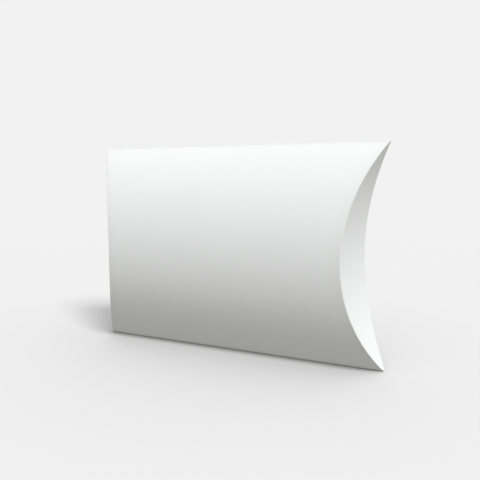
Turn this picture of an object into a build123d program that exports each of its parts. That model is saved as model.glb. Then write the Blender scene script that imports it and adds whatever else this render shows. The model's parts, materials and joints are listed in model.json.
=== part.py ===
from build123d import *
from math import asin, degrees, sqrt
import os

# A pillow box: one sheet of white folding boxboard, creased, glued into a sleeve, and closed at
# each end by two curved flaps that snap inwards over one another.
# X runs along the box, Y from its front to its back, and Z up from the table.
# The origin is on the table under the middle of the box, which stands on its bottom long crease.
# Every length is in millimetres.

# Closed box
box_height = 114.0             # bottom long crease to top long crease
box_length = 170.0             # corner to corner
box_depth = 47.5               # over the bulge of both panels
end_depth = 17.0               # how far the middle of an end lies in from its corners

# Board and long creases
board = 0.45                   # thickness of the boxboard
crease_flat = 1.5              # width of the pressed flat along the outside of a long crease
crease_inner_radius = 0.15     # inside radius of the bends beside that flat

# Glued seam, inside the back panel along the bottom
glue_film = 0.15               # thickness of the glue
tab_width = 14.0               # width of the glue tab, measured round its curve
tab_end_gap = 2.0              # the tab's ends stop this far short of the inner flaps
glue_margin = 3.0              # bare board left all round the glue

# End flaps
crease_gap = 0.3               # between a flap and the panel that it is creased to
flap_gap = 0.3                 # between a closed outer flap and the inner flap beneath it
free_edge_setback = 0.5        # outer flap's free edge, in from the outside of the back panel
inner_flap_reach = 1.0         # inner flap's free edge, past the middle of the box

# One overrun serves all cuts
overrun = 5.0

half_height = box_height / 2
half_length = box_length / 2
half_depth = box_depth / 2

# A panel's outside is one circle, which runs tangent into the bends beside both long creases
bend_radius = board + crease_inner_radius
bend_rise = half_height - bend_radius
bulge = half_depth - crease_flat / 2
panel_radius = (bulge**2 + bend_rise**2 - bend_radius**2) / (2 * (bulge - bend_radius))
panel_half_angle = degrees(asin(bend_rise / (panel_radius - bend_radius)))

# The glue tab is concentric with the back panel, one board and one film of glue further in
tab_radius = panel_radius - board - glue_film
tab_foot_angle = degrees(asin(bend_rise / (tab_radius - bend_radius)))
tab_foot_y = half_depth - panel_radius + sqrt((tab_radius - bend_radius) ** 2 - bend_rise**2)
tab_head_angle = tab_foot_angle - degrees(tab_width / tab_radius)
glue_margin_angle = degrees(glue_margin / tab_radius)

# A closed end follows a drum that lies across the box and passes through both corners.
# The layers lie behind its face in this order: outer flap, gap, inner flap, gap, panel.
end_radius = (half_height**2 + end_depth**2) / (2 * end_depth)
end_centre_x = half_length - end_depth + end_radius
inner_flap_radius = end_radius + board + flap_gap
front_end_radius = end_radius + board + crease_gap
back_end_radius = inner_flap_radius + board + crease_gap
tab_end_radius = inner_flap_radius + board + tab_end_gap

# The flaps stop short of the long creases, clear of their bends
flap_tip_rise = bend_radius + crease_gap


def arc_centre(side):
    # Centre of a panel's circle in the YZ section: side is -1 for the front and 1 for the back
    return (side * (half_depth - panel_radius), half_height)


def board_strip(outer_line, inner_line):
    # Section of a strip of board between its outside line and its inside line
    ends = [Line(outer_line @ 0, inner_line @ 0), Line(outer_line @ 1, inner_line @ 1)]
    return make_face([*outer_line.edges(), *inner_line.edges(), *ends])


def curved_strip(centre, outer_radius, inner_radius, start_angle, end_angle):
    # Section of a strip that is bent to one circle
    turn = end_angle - start_angle
    outer_line = CenterArc(centre, outer_radius, start_angle, turn)
    inner_line = CenterArc(centre, inner_radius, start_angle, turn)
    return board_strip(outer_line, inner_line)


def crease_line(left_y, right_y, radius, height, left_angle, right_angle):
    # One face of a bottom long crease: bend, flat, bend
    left = CenterArc((left_y, height), radius, left_angle, 270 - left_angle)
    flat = Line(left @ 1, (right_y, height - radius))
    right = CenterArc((right_y, height), radius, 270, right_angle - 270)
    return Curve() + [left, flat, right]


def crease_section(left_y, right_y, right_angle):
    # Section of a bottom long crease, which runs from the front panel to its other neighbour
    left_angle = 180 + panel_half_angle
    lines = []
    for radius in (bend_radius, crease_inner_radius):
        lines.append(crease_line(left_y, right_y, radius, bend_radius, left_angle, right_angle))
    return board_strip(lines[0], lines[1])


def along_box(section):
    # A YZ section made as long as the box
    return extrude(Plane.YZ * section, half_length, both=True)


def end_drum(radius, end):
    # Drum that lies across the box at one end: end is 1 on the right and -1 on the left
    place = Location((end * end_centre_x, 0, half_height), (90, 0, 0))
    return place * Cylinder(radius, box_depth + overrun)


def trim_ends(sleeve_piece, radius):
    # Cut both ends of a piece of the sleeve to a drum
    for end in (1, -1):
        sleeve_piece -= end_drum(radius, end)
    return sleeve_piece


def make_front_panel():
    section = curved_strip(
        arc_centre(-1),
        panel_radius,
        panel_radius - board,
        180 - panel_half_angle,
        180 + panel_half_angle,
    )
    return trim_ends(along_box(section), front_end_radius)


def make_back_panel():
    # Its bottom edge is a cut edge, which reaches the table beside the bottom crease
    reach_angle = panel_half_angle + degrees(overrun / panel_radius)
    section = curved_strip(
        arc_centre(1), panel_radius, panel_radius - board, -reach_angle, panel_half_angle
    )
    above_table = Rectangle(box_depth, box_height, align=(Align.CENTER, Align.MIN))
    return trim_ends(along_box(section & above_table), back_end_radius)


def make_top_fold():
    # The top crease is symmetrical, and is drawn upside down and turned over
    section = crease_section(-crease_flat / 2, crease_flat / 2, 360 - panel_half_angle)
    upright = Location((0, 0, box_height), (180, 0, 0)) * along_box(section)
    return trim_ends(upright, end_radius)


def make_bottom_fold():
    # The bottom crease runs from the front panel into the glue tab
    section = crease_section(-crease_flat / 2, tab_foot_y, 360 - tab_foot_angle)
    return trim_ends(along_box(section), end_radius)


def make_glue_tab():
    section = curved_strip(
        arc_centre(1), tab_radius, tab_radius - board, -tab_foot_angle, -tab_head_angle
    )
    return trim_ends(along_box(section), tab_end_radius)


def make_glue_line():
    section = curved_strip(
        arc_centre(1),
        panel_radius - board,
        tab_radius,
        -tab_foot_angle + glue_margin_angle,
        -tab_head_angle - glue_margin_angle,
    )
    return trim_ends(along_box(section), tab_end_radius + glue_margin)


def make_flap(front_circle, back_circle, outer_radius, end):
    # A flap is the wall between two drums, seen along the box as a lens between two circles
    between_creases = Pos(0, half_height) * Rectangle(box_depth, box_height - 2 * flap_tip_rise)
    lens = front_circle & back_circle & between_creases
    reach = extrude(Plane.YZ * lens, end * (half_length + overrun))
    wall = end_drum(outer_radius + board, end) - end_drum(outer_radius, end)
    return reach & wall


def make_outer_flap(end):
    # Creased to the front panel, its free edge set in from the outside of the back panel
    front_circle = Pos(arc_centre(-1)) * Circle(panel_radius)
    back_circle = Pos(arc_centre(1)) * Circle(panel_radius - free_edge_setback)
    return make_flap(front_circle, back_circle, end_radius, end)


def make_inner_flap(end):
    # Creased to the back panel, its free edge an arc that passes the middle of the box
    edge_radius = (half_height**2 + inner_flap_reach**2) / (2 * inner_flap_reach)
    front_circle = Pos(edge_radius - inner_flap_reach, half_height) * Circle(edge_radius)
    back_circle = Pos(arc_centre(1)) * Circle(panel_radius)
    return make_flap(front_circle, back_circle, inner_flap_radius, end)


pieces = {
    "front_panel": make_front_panel(),
    "back_panel": make_back_panel(),
    "top_fold": make_top_fold(),
    "bottom_fold": make_bottom_fold(),
    "glue_tab": make_glue_tab(),
    "glue_line": make_glue_line(),
    "right_outer_flap": make_outer_flap(1),
    "right_inner_flap": make_inner_flap(1),
    "left_outer_flap": make_outer_flap(-1),
    "left_inner_flap": make_inner_flap(-1),
}

os.makedirs("parts", exist_ok=True)
for node, piece in pieces.items():
    export_step(piece, f"parts/{node}.step")

print("panel radius", round(panel_radius, 3), "half angle", round(panel_half_angle, 3))
print("end radius", round(end_radius, 3), "glue tab foot at y", round(tab_foot_y, 3))
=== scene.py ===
import json
import math

import bpy
import numpy as np
from mathutils import Matrix, Vector


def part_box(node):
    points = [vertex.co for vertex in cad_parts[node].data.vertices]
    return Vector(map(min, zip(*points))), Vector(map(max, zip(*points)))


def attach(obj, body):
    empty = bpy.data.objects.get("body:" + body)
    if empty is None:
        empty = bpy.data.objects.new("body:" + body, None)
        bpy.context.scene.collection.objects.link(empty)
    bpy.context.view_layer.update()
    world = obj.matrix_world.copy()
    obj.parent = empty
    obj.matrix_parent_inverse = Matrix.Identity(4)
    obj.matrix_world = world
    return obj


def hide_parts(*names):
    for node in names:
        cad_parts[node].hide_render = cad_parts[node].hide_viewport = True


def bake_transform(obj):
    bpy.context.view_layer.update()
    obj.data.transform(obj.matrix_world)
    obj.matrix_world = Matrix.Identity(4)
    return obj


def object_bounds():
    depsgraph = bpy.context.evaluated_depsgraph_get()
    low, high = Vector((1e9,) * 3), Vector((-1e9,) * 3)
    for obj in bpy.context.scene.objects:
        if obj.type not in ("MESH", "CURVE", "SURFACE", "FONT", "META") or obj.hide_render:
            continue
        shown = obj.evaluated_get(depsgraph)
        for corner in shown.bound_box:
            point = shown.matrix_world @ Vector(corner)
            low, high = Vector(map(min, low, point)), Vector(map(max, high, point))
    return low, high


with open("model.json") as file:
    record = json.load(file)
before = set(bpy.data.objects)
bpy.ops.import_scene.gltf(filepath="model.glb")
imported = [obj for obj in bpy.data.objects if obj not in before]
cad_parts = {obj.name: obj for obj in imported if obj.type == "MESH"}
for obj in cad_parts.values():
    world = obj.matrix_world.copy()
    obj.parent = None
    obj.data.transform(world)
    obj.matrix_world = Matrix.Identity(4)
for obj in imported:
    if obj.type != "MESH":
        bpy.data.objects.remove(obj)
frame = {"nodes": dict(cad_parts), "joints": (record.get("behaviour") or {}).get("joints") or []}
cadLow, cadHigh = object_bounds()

# A closed pillow box of white folding boxboard, as curved sheets of the real thickness.
# X runs along the box, Y from its front to its back, Z up; every length is in metres.
mm = 0.001


# Sizes that every piece shares

board = {
    "thickness": 0.45 * mm,
    "creaseFlat": 1.5 * mm,       # pressed flat along the outside of a long crease
    "creaseInside": 0.15 * mm,    # inside radius of the bends beside that flat
    "sharpAngle": 50,             # degrees past which an edge of a sheet is shaded sharp
}

hinges = {joint["name"]: Vector(joint["pos_m"]) for joint in frame["joints"]}
height = cadHigh.z
halfHeight = height / 2
halfLength = cadHigh.x
halfDepth = hinges["right_inner_crease"].y
endMiddle = hinges["right_outer_crease"].x                 # middle of the curved end
layerStep = endMiddle - hinges["right_inner_crease"].x     # from one flap to the next beneath it

# A panel is one circle, tangent to the bends beside both long creases
bendRadius = board["thickness"] + board["creaseInside"]
bendRise = halfHeight - bendRadius
bulge = halfDepth - board["creaseFlat"] / 2
panelRadius = (bulge**2 + bendRise**2 - bendRadius**2) / (2 * (bulge - bendRadius))
panelHalfAngle = math.asin(bendRise / (panelRadius - bendRadius))

endDepth = halfLength - endMiddle    # how far a closed end lies in from its corners

print("box", round(2 * halfLength, 4), round(2 * halfDepth, 4), round(height, 4),
      "panel radius", round(panelRadius, 4), "end depth", round(endDepth, 4))


# The crease between a panel and its flap: the flap's sheet starts a little way into the panel,
# so that the board rolls round the crease in one piece

crease = {
    "hangShare": 0.045,           # how far its curve hangs back from a parabola
    "inset": 0.9 * mm,            # where the flap's sheet starts, in from the crease
    "roll": 0.35 * mm,            # outside radius of the rolled crease
    "pressedShare": 0.34,         # how much thinner the crease is pressed
    "pressedWidth": 0.45 * mm,
    "tip": 0.62 * mm,             # a flap stops this far short of the box's top and bottom
    "taperStart": 0.3 * mm,       # the roll grows from nothing between these two heights
    "taperEnd": 1.8 * mm,
}


def panelDepth(z, radius=panelRadius):
    # Distance of a panel's circle from the middle plane: its centre's place plus the root of
    # the radius squared less the height above the middle squared
    return halfDepth - panelRadius + np.sqrt(radius**2 - (z - halfHeight) ** 2)


def endReach(z, behind=0.0):
    # Distance of a closed end from the box's middle: a parabola through both corners that hangs
    # back a little before them, less the layer's depth behind it, measured square to its slope
    share = (z - halfHeight) / halfHeight
    hang = crease["hangShare"]
    reach = endMiddle + endDepth * share**2 * (1 - hang + hang * share**2)
    slope = 2 * endDepth * share / halfHeight * (1 - hang + 2 * hang * share**2)
    return reach - behind * np.sqrt(1 + slope**2)


def creaseGrowth(z):
    # Nothing at the tips and 1 past the taper: a straight ramp of the height from the nearer tip
    edge = np.minimum(z, height - z)
    return np.clip((edge - crease["taperStart"]) / (crease["taperEnd"] - crease["taperStart"]), 0, 1)


def crowdedAngles(limit, count):
    # Angles from -limit to limit that crowd towards both ends: the limit times a sine
    return limit * np.sin(np.linspace(-math.pi / 2, math.pi / 2, count))


levelCount = 121
tipAngle = math.asin((halfHeight - crease["tip"]) / panelRadius)
levelAngles = crowdedAngles(tipAngle, levelCount)
levels = halfHeight + panelRadius * np.sin(levelAngles)    # heights that panels and flaps share


# Sheets

def facesInwards(outer, inner):
    # True where the grid's rows crossed with its columns point from the outer side to the inner
    acrossRows, acrossColumns = np.gradient(outer, axis=0), np.gradient(outer, axis=1)
    return (np.cross(acrossRows, acrossColumns) * (outer - inner)).sum() < 0


def sheetMesh(name, outer, inner, wearAndShade):
    # A closed sheet between two grids of points: every grid cell is a face on both sides, and the four
    # borders are closed by walls. The crease mark, one number a grid point, is kept as an attribute:
    # partly pressed wear and partly painted shade.
    if facesInwards(outer, inner):
        outer, inner, wearAndShade = outer[:, ::-1], inner[:, ::-1], wearAndShade[:, ::-1]
    rows, columns = outer.shape[:2]
    index = np.arange(rows * columns).reshape(rows, columns)

    corners = (index[:-1, :-1], index[1:, :-1], index[1:, 1:], index[:-1, 1:])
    top = np.stack(corners, axis=-1).reshape(-1, 4)
    bottom = top[:, ::-1] + rows * columns

    border = np.concatenate([index[0, :-1], index[:-1, -1], index[-1, :0:-1], index[:0:-1, 0]])
    following = np.roll(border, -1)
    walls = np.stack([border, following, following + rows * columns, border + rows * columns], axis=-1)

    faces = np.concatenate([top, bottom, walls])
    points = np.concatenate([outer.reshape(-1, 3), inner.reshape(-1, 3)])
    mesh = bpy.data.meshes.new(name)
    mesh.from_pydata(points.tolist(), [], faces.tolist())
    slots = np.repeat([0, 1, 2], [len(top), len(bottom), len(walls)])
    mesh.polygons.foreach_set("material_index", slots.astype(np.int32))
    mesh.polygons.foreach_set("use_smooth", np.ones(len(faces), bool))
    mesh.attributes.new("creaseWearAndShade", "FLOAT", "POINT")
    mesh.attributes["creaseWearAndShade"].data.foreach_set(
        "value", np.concatenate([wearAndShade.ravel(), wearAndShade.ravel()]).astype(np.float32))
    mesh.update()
    mesh.set_sharp_from_angle(angle=math.radians(board["sharpAngle"]))
    piece = bpy.data.objects.new(name, mesh)
    bpy.context.scene.collection.objects.link(piece)
    return piece


def nearness(distance, width):
    # 1 at a crease and fading away from it: the bell curve of the distance over the width
    return np.exp(-((distance / width) ** 2))


panel = {
    "columns": 33,
    "creaseWidth": 1.1 * mm,      # how far the mark of a crease reaches into the board
}


def panelSheet(name, side, behind, lowOuter, lowInner):
    # A panel: its angle runs up the bulge and its share along the box, so a point lies at the
    # share of the curved end's reach, at the circle's depth and at the circle's height
    shares = np.linspace(-1, 1, panel["columns"])[None, :]
    outerAngles = np.concatenate([[lowOuter], levelAngles, [panelHalfAngle]])[:, None]
    innerAngles = np.concatenate([[lowInner], levelAngles, [panelHalfAngle]])[:, None]
    z = halfHeight + panelRadius * np.sin(outerAngles)
    inset = crease["inset"] * creaseGrowth(z)
    x = shares * (endReach(z, behind) - inset)
    layers = []
    for angles, radius in ((outerAngles, panelRadius), (innerAngles, panelRadius - board["thickness"])):
        y = side * (halfDepth - panelRadius + radius * np.cos(angles)) + 0 * shares
        layers.append(np.stack([x, y, halfHeight + radius * np.sin(angles) + 0 * shares], axis=-1))

    # The way along the board to the middle of the rolled crease, and the height to a long one
    toEnd = endReach(z, behind) - np.abs(x) - crease["roll"] * (1 - math.pi / 4) * creaseGrowth(z)
    toFold = np.minimum(z, height - z) + 0 * shares
    # The crease mark, highest at the creases: partly pressed wear, partly painted shade
    wearAndShade = np.maximum(nearness(toEnd, panel["creaseWidth"]), nearness(toFold, panel["creaseWidth"]))
    return sheetMesh(name, layers[0], layers[1], wearAndShade)


fold = {
    "columns": 33,
    "bendSteps": 9,
}


def foldStrip(name, rightY, rightAngle, upsideDown):
    # A long crease: turning angles carried round two centres, one at each side of its flat, at
    # the outside radius and at the inside radius
    steps = fold["bendSteps"]
    leftAngle = math.pi + panelHalfAngle
    down = 1.5 * math.pi
    turn = np.concatenate([np.linspace(leftAngle, down, steps), np.linspace(down, rightAngle, steps)])
    centreY = np.repeat([-board["creaseFlat"] / 2, rightY], steps)
    shares = np.linspace(-1, 1, fold["columns"])[None, :]
    layers = []
    for radius in (bendRadius, board["creaseInside"]):
        y = (centreY + radius * np.cos(turn))[:, None] + 0 * shares
        z = (bendRadius + radius * np.sin(turn))[:, None] + 0 * shares
        if upsideDown:
            z = height - z
        layers.append(np.stack([shares * endReach(z), y, z], axis=-1))
    # The whole long crease carries the crease mark of pressed wear and painted shade
    return sheetMesh(name, layers[0], layers[1], np.ones(layers[0].shape[:2]))


def makeSleeve():
    # The sleeve: front panel, top crease, back panel and the bottom crease that runs into the tab
    frontPanel = panelSheet("front_panel_sheet", -1, 0.0, -panelHalfAngle, -panelHalfAngle)
    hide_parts("front_panel")

    # The back panel's lower edge is cut, and stands on the floor behind the bottom crease
    cutOuter = -math.asin(halfHeight / panelRadius)
    cutInner = -math.asin(halfHeight / (panelRadius - board["thickness"]))
    backPanel = panelSheet("back_panel_sheet", 1, layerStep, cutOuter, cutInner)
    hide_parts("back_panel")

    symmetrical = 2 * math.pi - panelHalfAngle
    topFold = foldStrip("top_fold_strip", board["creaseFlat"] / 2, symmetrical, True)
    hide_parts("top_fold")

    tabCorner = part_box("bottom_fold")[1]                   # where the bend ends in the tab
    tabAngle = math.asin((bendRadius - tabCorner.z) / bendRadius)
    tabFootY = tabCorner.y - bendRadius * math.cos(tabAngle)
    bottomFold = foldStrip("bottom_fold_strip", tabFootY, 2 * math.pi - tabAngle, False)
    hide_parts("bottom_fold")

    sheets = [frontPanel, backPanel, topFold, bottomFold]
    for sheet in sheets:
        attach(sheet, "sleeve")
    return sheets


flap = {
    "rollSteps": 10,
    "wallSteps": 28,
    "freeEdgeSetback": 0.2 * mm,  # outer flap's free edge, in from the outside of the back panel
    "innerReach": 1.0 * mm,       # inner flap's free edge, past the middle of the box
}


def outerFreeEdge(z):
    # The outer flap ends on a circle just inside the far panel, on the far side of the middle
    return -panelDepth(z, panelRadius - flap["freeEdgeSetback"])


def innerFreeEdge(z):
    # The inner flap ends on a flat circle through both tips that passes the middle by its reach
    reach = flap["innerReach"]
    radius = (halfHeight**2 + reach**2) / (2 * reach)
    return radius - reach - np.sqrt(radius**2 - (z - halfHeight) ** 2)


def openShares(points, end, side, crossing, under, turned):
    # Open, a flap carries its panel's curve on past the crease. A point keeps its height and its
    # distance from the upright line through the crease's middle, and turns about that line until
    # it lies on the panel's circle, less its depth under the surface: the angle between its two
    # directions as a share of a right angle, times how far the crease has turned by then
    out = end * points[..., 0] - crossing
    aside = halfDepth - side * points[..., 1]
    openAside = halfDepth - panelDepth(points[..., 2], panelRadius - under)
    closedWay = np.arctan2(aside, out)
    openWay = np.arcsin(np.clip(openAside / np.hypot(out, aside), -1, 1))
    return turned * (closedWay - openWay) / (math.pi / 2)


def flapSheet(body, end, side, behind, freeEdge):
    # A flap: in each level section the board runs straight out of its panel, rolls a quarter
    # turn round the crease and runs straight across to its free edge
    z = levels[:, None]
    growth = creaseGrowth(z)
    roll = crease["roll"] * growth
    reach, depth = endReach(z, behind), panelDepth(z)
    turn = np.linspace(0, math.pi / 2, flap["rollSteps"] + 1)[None, :]
    shares = (np.arange(1, flap["wallSteps"] + 1)[None, :] / flap["wallSteps"]) ** 2
    startX = reach - crease["inset"] * growth
    rollX = reach - roll + roll * np.sin(turn)
    rollY = depth - roll + roll * np.cos(turn)
    wallY = depth - roll + shares * (freeEdge(z) - depth + roll)
    x = end * np.concatenate([startX, rollX, reach + 0 * shares], axis=1)
    y = side * np.concatenate([depth, rollY, wallY], axis=1)
    outer = np.stack([x, y, z + 0 * x], axis=-1)

    # How far the roll has turned at a point, and the way along the board from the roll's middle
    turned = np.concatenate([0 * reach, turn / turn.max() + 0 * reach, 1 + 0 * wallY], axis=1)
    straight = np.concatenate([startX - rollX[:, :1], 0 * rollX, depth - roll - wallY], axis=1)
    away = np.abs(straight + roll * (turned - 0.5) * math.pi / 2)
    # The crease mark, highest at the roll: partly pressed wear, partly painted shade
    wearAndShade = nearness(away, panel["creaseWidth"])

    normal = np.cross(np.gradient(outer, axis=0), np.gradient(outer, axis=1))
    normal *= -end * side / np.linalg.norm(normal, axis=-1, keepdims=True)    # towards the inside
    remaining = 1 - crease["pressedShare"] * nearness(away, crease["pressedWidth"])
    thickness = board["thickness"] * growth * remaining
    inner = outer + thickness[:, :, None] * normal

    piece = sheetMesh(body + "_flap_sheet", outer, inner, wearAndShade)
    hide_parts(body + "_flap")

    # The turn's shares follow the mesh's own order of points
    crossing = endMiddle - behind
    layers = ((outer, 0 * thickness), (inner, thickness))
    turns = [openShares(points, end, side, crossing, under, turned) for points, under in layers]
    if facesInwards(outer, inner):
        turns = [part[:, ::-1] for part in turns]
    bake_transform(piece)
    return piece


def makeFlaps():
    # Two flaps at each end: the outer one creased to the front panel, the inner to the back
    sheets = []
    for hand, end in (("right", 1), ("left", -1)):
        sheets.append(flapSheet(hand + "_outer", end, -1, 0.0, outerFreeEdge))
        sheets.append(flapSheet(hand + "_inner", end, 1, layerStep, innerFreeEdge))
    return sheets


# Shader nodes

white = (1, 1, 1, 1)


def newMaterial(name):
    # An empty material and its tree
    material = bpy.data.materials.new(name)
    material.use_nodes = True
    material.node_tree.nodes.clear()
    return material, material.node_tree


def inputOf(node, key):
    # An input by its name, or by its number where the key is "in" and that number
    number = key[2:]
    if key.startswith("in") and number.isdigit():
        return node.inputs[int(number)]
    return node.inputs[key.replace("_", " ")]


def addNode(tree, kind, settings=None, **inputs):
    # A node with its settings; an input is a value, or another node's output to link
    node = tree.nodes.new(kind)
    for key, value in (settings or {}).items():
        setattr(node, key, value)
    for key, value in inputs.items():
        if isinstance(value, bpy.types.NodeSocket):
            tree.links.new(value, inputOf(node, key))
        else:
            inputOf(node, key).default_value = value
    return node


def objectPlace(tree):
    # The place on the piece itself, which moves with it
    return addNode(tree, "ShaderNodeTexCoord").outputs["Object"]


def speckle(tree, place, scale, detail, low=0.0, high=1.0):
    # Noise of one grain size, spread from low to high
    noise = addNode(tree, "ShaderNodeTexNoise", Vector=place, Scale=scale, Detail=detail)
    spread = addNode(tree, "ShaderNodeMapRange", Value=noise.outputs["Fac"], To_Min=low, To_Max=high)
    return spread.outputs["Result"]


def combine(tree, operation, first, second):
    # One number from two: their product, their sum or the larger of them
    return addNode(tree, "ShaderNodeMath", {"operation": operation}, in0=first, in1=second).outputs[0]


def mixColours(tree, share, first, second):
    # The first colour where the share is 0 and the second where it is 1
    mix = addNode(tree, "ShaderNodeMix", {"data_type": "RGBA"}, Factor=share,
                  in6=(*first, 1), in7=(*second, 1))
    return mix.outputs[2]


def scaleColour(tree, colour, tone):
    # The colour times a tone near 1
    return addNode(tree, "ShaderNodeVectorMath", {"operation": "SCALE"}, in0=colour, Scale=tone).outputs[0]


def mixShaders(tree, share, first, second):
    # The first shader where the share is 0 and the second where it is 1
    return addNode(tree, "ShaderNodeMixShader", in0=share, in1=first, in2=second).outputs[0]


def openSky(tree, reach, samples):
    # The share of directions that nothing closes off within the reach
    return addNode(tree, "ShaderNodeAmbientOcclusion", {"samples": samples}, Distance=reach).outputs["AO"]


def closeMaterial(tree, look, colour, roughness, grain):
    # A plain surface with a raised grain, linked to the material's output
    bump = addNode(tree, "ShaderNodeBump", Strength=look["bumpStrength"], Distance=look["bumpDepth"],
                   Height=grain)
    shader = addNode(tree, "ShaderNodeBsdfPrincipled", Base_Color=colour, Roughness=roughness,
                     IOR=look["refraction"], Specular_IOR_Level=look["sheen"],
                     Normal=bump.outputs["Normal"])
    addNode(tree, "ShaderNodeOutputMaterial", in0=shader.outputs[0])


# Finishes

coatedBoard = {
    "colour": (0.846, 0.860, 0.856),
    # Greyer along the creases: partly the pressed coating's wear, partly painted shade that dims the
    # rolled crease's highlight
    "creaseWornShadedColour": (0.755, 0.76, 0.755),
    "cloudScale": 55,             # patches of about 20 mm
    "cloudDetail": 3.0,
    "cloudTone": (0.99, 1.01),
    "flockScale": 700,            # fibre clumps of about 1.5 mm
    "flockDetail": 4.0,
    "flockTone": (0.985, 1.015),
    "fibreScale": 4200,           # single fibres
    "fibreDetail": 2.0,
    "swellDetail": 2.0,           # the clumps as they raise the coating
    "roughness": (0.56, 0.68),
    "roughnessDetail": 3.0,
    "refraction": 1.5,
    "sheen": 0.35,                # specular level: a matt coating, a little under the usual half
    "bumpStrength": 0.6,
    "bumpDepth": 0.012 * mm,
}


def makeCoatedBoard():
    # Outside of the board: a matt white coating with faint fibre clumps beneath it, greyer along the
    # creases from pressed wear and painted shade
    look = coatedBoard
    material, tree = newMaterial("coatedBoard")
    place = objectPlace(tree)
    cloud = speckle(tree, place, look["cloudScale"], look["cloudDetail"], *look["cloudTone"])
    flock = speckle(tree, place, look["flockScale"], look["flockDetail"], *look["flockTone"])
    fibre = speckle(tree, place, look["fibreScale"], look["fibreDetail"])
    # The crease mark greys the coating: partly pressed wear, partly painted shade
    wearAndShade = addNode(tree, "ShaderNodeAttribute", {"attribute_name": "creaseWearAndShade"}).outputs["Fac"]
    wornAndShaded = combine(tree, "MULTIPLY", wearAndShade, fibre)
    base = mixColours(tree, wornAndShaded, look["colour"], look["creaseWornShadedColour"])
    colour = scaleColour(tree, base, combine(tree, "MULTIPLY", cloud, flock))
    roughness = speckle(tree, place, look["flockScale"], look["roughnessDetail"], *look["roughness"])
    swell = speckle(tree, place, look["flockScale"], look["swellDetail"])
    closeMaterial(tree, look, colour, roughness, combine(tree, "ADD", fibre, swell))
    return material


bareBoard = {
    "colour": (0.76, 0.75, 0.72),
    "fibreColour": (0.69, 0.67, 0.63),
    "cloudScale": 60,             # patches of about 15 mm
    "cloudDetail": 4.0,
    "cloudTone": (0.98, 1.02),
    "clumpScale": 900,            # clumps of fibre of about 1 mm
    "clumpDetail": 5.0,
    "clumpTone": (0.975, 1.025),
    "fibreScale": 3200,
    "fibreDetail": 5.0,
    "fibreStretch": (0.25, 1.0, 1.0),    # fibres lie along the box, as the board was rolled
    "fleckFrom": 0.30,            # noise up to here has the fibre's colour
    "fleckTo": 0.55,              # and from here on the board's
    "roughness": (0.78, 0.92),
    "roughnessDetail": 2.0,
    "refraction": 1.45,
    "sheen": 0.5,
    "bumpStrength": 0.8,
    "bumpDepth": 0.03 * mm,
}


def makeBareBoard():
    # Inside of the board: uncoated, a little warmer, with its fibres open to the eye
    look = bareBoard
    material, tree = newMaterial("bareBoard")
    place = objectPlace(tree)
    cloud = speckle(tree, place, look["cloudScale"], look["cloudDetail"], *look["cloudTone"])
    clump = speckle(tree, place, look["clumpScale"], look["clumpDetail"], *look["clumpTone"])
    stretched = addNode(tree, "ShaderNodeMapping", Vector=place, Scale=look["fibreStretch"]).outputs[0]
    fibre = speckle(tree, stretched, look["fibreScale"], look["fibreDetail"])
    flecks = addNode(tree, "ShaderNodeValToRGB", Fac=fibre)
    first, last = flecks.color_ramp.elements
    first.position = look["fleckFrom"]
    first.color = (*look["fibreColour"], 1)
    last.position = look["fleckTo"]
    last.color = (*look["colour"], 1)
    tone = combine(tree, "MULTIPLY", cloud, clump)
    colour = scaleColour(tree, flecks.outputs["Color"], tone)
    roughness = speckle(tree, place, look["fibreScale"], look["roughnessDetail"], *look["roughness"])
    closeMaterial(tree, look, colour, roughness, fibre)
    return material


cutEdge = {
    "colour": (0.80, 0.79, 0.76),
    "shadeColour": (0.66, 0.64, 0.60),
    "fibreScale": 5200,
    "fibreDetail": 4.0,
    "fibreStretch": (0.35, 1.0, 0.35),   # drawn out along the box and upwards, as in a panel
    "roughness": 0.9,
    "refraction": 1.4,
    "sheen": 0.5,
    "bumpStrength": 0.7,
    "bumpDepth": 0.04 * mm,
}


def makeCutEdge():
    # Cut edge of the board: the fibre layers laid open by the die
    look = cutEdge
    material, tree = newMaterial("cutEdge")
    place = objectPlace(tree)
    stretched = addNode(tree, "ShaderNodeMapping", Vector=place, Scale=look["fibreStretch"]).outputs[0]
    fibre = speckle(tree, stretched, look["fibreScale"], look["fibreDetail"])
    colour = mixColours(tree, fibre, look["shadeColour"], look["colour"])
    closeMaterial(tree, look, colour, look["roughness"], fibre)
    return material


driedGlue = {
    "colour": (0.80, 0.78, 0.71),
    "thinColour": (0.70, 0.68, 0.62),
    "rippleScale": 260,
    "rippleDetail": 3.0,
    "roughness": (0.25, 0.45),
    "roughnessScale": 780,
    "roughnessDetail": 2.0,
    "refraction": 1.48,
    "sheen": 0.5,
    "bumpStrength": 0.6,
    "bumpDepth": 0.05 * mm,
}


def makeDriedGlue():
    # Glue film: milky where it is thick, rippled where the tab was pressed down
    look = driedGlue
    material, tree = newMaterial("driedGlue")
    place = objectPlace(tree)
    ripple = speckle(tree, place, look["rippleScale"], look["rippleDetail"])
    colour = mixColours(tree, ripple, look["thinColour"], look["colour"])
    roughness = speckle(tree, place, look["roughnessScale"], look["roughnessDetail"], *look["roughness"])
    closeMaterial(tree, look, colour, roughness, ripple)
    return material


def finishBoard(sheets):
    # Outside, inside and cut edge of every sheet, and the two plain strips kept as they are
    finishes = [makeCoatedBoard(), makeBareBoard(), makeCutEdge()]
    for sheet in sheets:
        for finish in finishes:
            sheet.data.materials.append(finish)
    for node, finish in (("glue_tab", finishes[1]), ("glue_line", makeDriedGlue())):
        for slot in frame["nodes"][node].material_slots:
            slot.material = finish


# Studio

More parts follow.
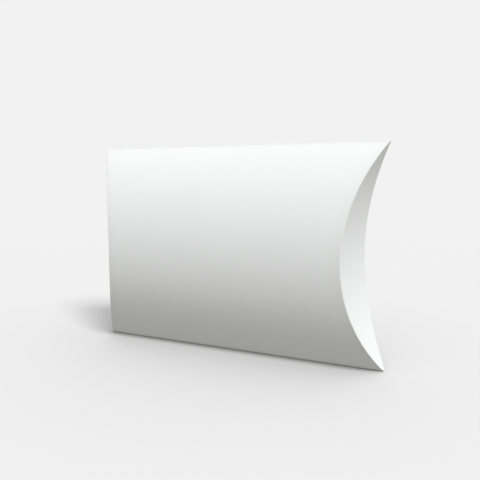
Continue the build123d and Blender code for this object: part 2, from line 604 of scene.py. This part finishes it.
studio = {
    "backdrop": 0.887,            # how bright the background shows, 1 being white
    "floorShown": 0.780,          # floor's paleness as the camera sees it
    "floorLevel": 1.136,          # light that falls on the open floor
    # Painted light: a share of the floor glows, lightening the box's shadow on it
    "shadowLift": 0.20,           # share of that light that the box's own shadow leaves alone
    "liftReach": 4.5 * mm,        # but not this close to where the box stands
    # Painted shade: the floor's colour darkens close to the box, on top of its real shadow
    "cornerShade": 0.265,         # how much more the floor darkens close to the box
    "cornerOpenness": 0.40,       # reached where only this share of the sky is open
    "cornerReach": 0.15,
    "openSamples": 16,            # rays that look for open sky
    "floorBounce": 0.365,         # light that the floor gives back to the box
    "bounceColour": (1.018, 1.008, 0.974),
    "contactReach": 0.9 * mm,     # that light fades this close to where the box stands
    "contactSamples": 8,
    "floorHalf": 4.0,
    "fadeStart": 0.30,            # from here to fadeEnd the floor turns into the backdrop
    "fadeEnd": 1.1,
    "domeLevel": 0.50,            # soft light from all round
    "domeRight": 0.06,            # how much more of it comes from the right
    "lampAzimuth": 52.5,          # degrees from the front towards the right
    "lampElevation": 50,
    "lampSpread": 19,             # degrees that the lamp fills, seen from the box
    "lampStrength": 2.58,
}


def seenDirectly(tree):
    # 1 for rays from the camera, mirrored rays and rays through glass
    path = addNode(tree, "ShaderNodeLightPath").outputs
    seen = combine(tree, "MAXIMUM", path["Is Camera Ray"], path["Is Glossy Ray"])
    return combine(tree, "MAXIMUM", seen, path["Is Transmission Ray"])


def makePaleFloor():
    # The camera sees a floor whose colour has painted shade that darkens it close to the box, which keeps
    # its shadow with a painted glow of a share of the open floor's light over it, and which fades into the
    # backdrop with the distance. The box sees an even light, which fades where it stands.
    material, tree = newMaterial("paleFloor")
    away = addNode(tree, "ShaderNodeVectorMath", {"operation": "LENGTH"}, in0=objectPlace(tree))
    fade = addNode(tree, "ShaderNodeMapRange", {"interpolation_type": "SMOOTHSTEP"},
                   Value=away.outputs["Value"], From_Min=studio["fadeStart"],
                   From_Max=studio["fadeEnd"]).outputs["Result"]

    shown = studio["floorShown"]
    # Painted shade: darker floor colour where the box closes off the sky
    sky = openSky(tree, studio["cornerReach"], studio["openSamples"])
    shade = addNode(tree, "ShaderNodeMapRange", Value=sky, From_Min=studio["cornerOpenness"],
                    To_Min=shown * (1 - studio["cornerShade"]), To_Max=shown).outputs["Result"]
    # Painted light: the glow that lightens the shadow, fading close to where the box stands
    close = openSky(tree, studio["liftReach"], studio["openSamples"])
    lifted = combine(tree, "MULTIPLY", close, studio["floorLevel"])
    lit = addNode(tree, "ShaderNodeBsdfDiffuse", Color=shade).outputs[0]
    lift = addNode(tree, "ShaderNodeEmission", Color=shade, Strength=lifted).outputs[0]
    near = mixShaders(tree, studio["shadowLift"], lit, lift)
    far = addNode(tree, "ShaderNodeEmission", Color=white, Strength=studio["backdrop"]).outputs[0]
    seen = mixShaders(tree, fade, near, far)

    contact = openSky(tree, studio["contactReach"], studio["contactSamples"])
    bounce = combine(tree, "MULTIPLY", contact, studio["floorBounce"])
    unseen = addNode(tree, "ShaderNodeEmission", Color=(*studio["bounceColour"], 1),
                     Strength=bounce).outputs[0]
    both = mixShaders(tree, seenDirectly(tree), unseen, seen)
    addNode(tree, "ShaderNodeOutputMaterial", in0=both)
    return material


def makeFloor():
    # A flat square of floor under the box
    half = studio["floorHalf"]
    corners = [(-half, -half, 0), (half, -half, 0), (half, half, 0), (-half, half, 0)]
    mesh = bpy.data.meshes.new("floor")
    mesh.from_pydata(corners, [], [(0, 1, 2, 3)])
    floor = bpy.data.objects.new("floor", mesh)
    bpy.context.scene.collection.objects.link(floor)
    mesh.materials.append(makePaleFloor())


def makeWorld():
    # Soft light from the whole sky, a little stronger from the right
    world = bpy.data.worlds.new("studioWorld")
    bpy.context.scene.world = world
    world.use_nodes = True
    tree = world.node_tree
    tree.nodes.clear()
    direction = addNode(tree, "ShaderNodeTexCoord").outputs["Generated"]
    parts = addNode(tree, "ShaderNodeSeparateXYZ", Vector=direction)
    level = addNode(tree, "ShaderNodeMapRange", Value=parts.outputs["X"], From_Min=-1.0, From_Max=1.0,
                    To_Min=studio["domeLevel"] - studio["domeRight"],
                    To_Max=studio["domeLevel"] + studio["domeRight"]).outputs["Result"]
    dome = addNode(tree, "ShaderNodeBackground", Color=white, Strength=level).outputs[0]
    backdrop = addNode(tree, "ShaderNodeBackground", Color=white, Strength=studio["backdrop"]).outputs[0]
    both = mixShaders(tree, seenDirectly(tree), dome, backdrop)
    addNode(tree, "ShaderNodeOutputWorld", in0=both)


def makeLamp():
    # One large soft lamp far off, to the right of the camera and above it
    azimuth, elevation = math.radians(studio["lampAzimuth"]), math.radians(studio["lampElevation"])
    towards = Vector((math.sin(azimuth) * math.cos(elevation), -math.cos(azimuth) * math.cos(elevation),
                      math.sin(elevation)))
    data = bpy.data.lights.new("softLamp", "SUN")
    data.angle = math.radians(studio["lampSpread"])
    data.energy = studio["lampStrength"]
    lamp = bpy.data.objects.new("softLamp", data)
    lamp.location = Vector((0, 0, halfHeight)) + towards
    lamp.rotation_euler = towards.to_track_quat("Z", "Y").to_euler()
    bpy.context.scene.collection.objects.link(lamp)


camera = {
    "focal": 41.94,
    "sensor": 36,
    "stand": (139.72 * mm, -276.06 * mm, 96.95 * mm),
    "yaw": 26.127,                # degrees to the left of looking straight at the front
    "pitch": -6.408,
    "roll": -0.116,
    "clipNear": 0.01,
    "clipFar": 50,
}


def makeCamera():
    # The camera's three directions from its yaw, pitch and roll
    yaw, pitch, roll = (math.radians(camera[key]) for key in ("yaw", "pitch", "roll"))
    ahead = Vector((-math.sin(yaw) * math.cos(pitch), math.cos(yaw) * math.cos(pitch), math.sin(pitch)))
    level = Vector((math.cos(yaw), math.sin(yaw), 0))
    upright = level.cross(ahead)
    across = math.cos(roll) * level + math.sin(roll) * upright
    up = math.cos(roll) * upright - math.sin(roll) * level
    data = bpy.data.cameras.new("camera")
    data.lens = camera["focal"]
    data.sensor_width = camera["sensor"]
    data.clip_start = camera["clipNear"]
    data.clip_end = camera["clipFar"]
    eye = bpy.data.objects.new("camera", data)
    turned = Matrix((across, up, -ahead)).transposed()
    eye.matrix_world = Matrix.Translation(camera["stand"]) @ turned.to_4x4()
    bpy.context.scene.collection.objects.link(eye)
    bpy.context.scene.camera = eye


sheets = makeSleeve()
print("sleeve made:", len(sheets), "sheets")
sheets += makeFlaps()
print("flaps made:", len(sheets), "sheets in all")
finishBoard(sheets)
print("finishes made:", len(bpy.data.materials))
makeFloor()
makeWorld()
makeLamp()
makeCamera()
bpy.context.scene.view_settings.view_transform = "Standard"
print("studio made")
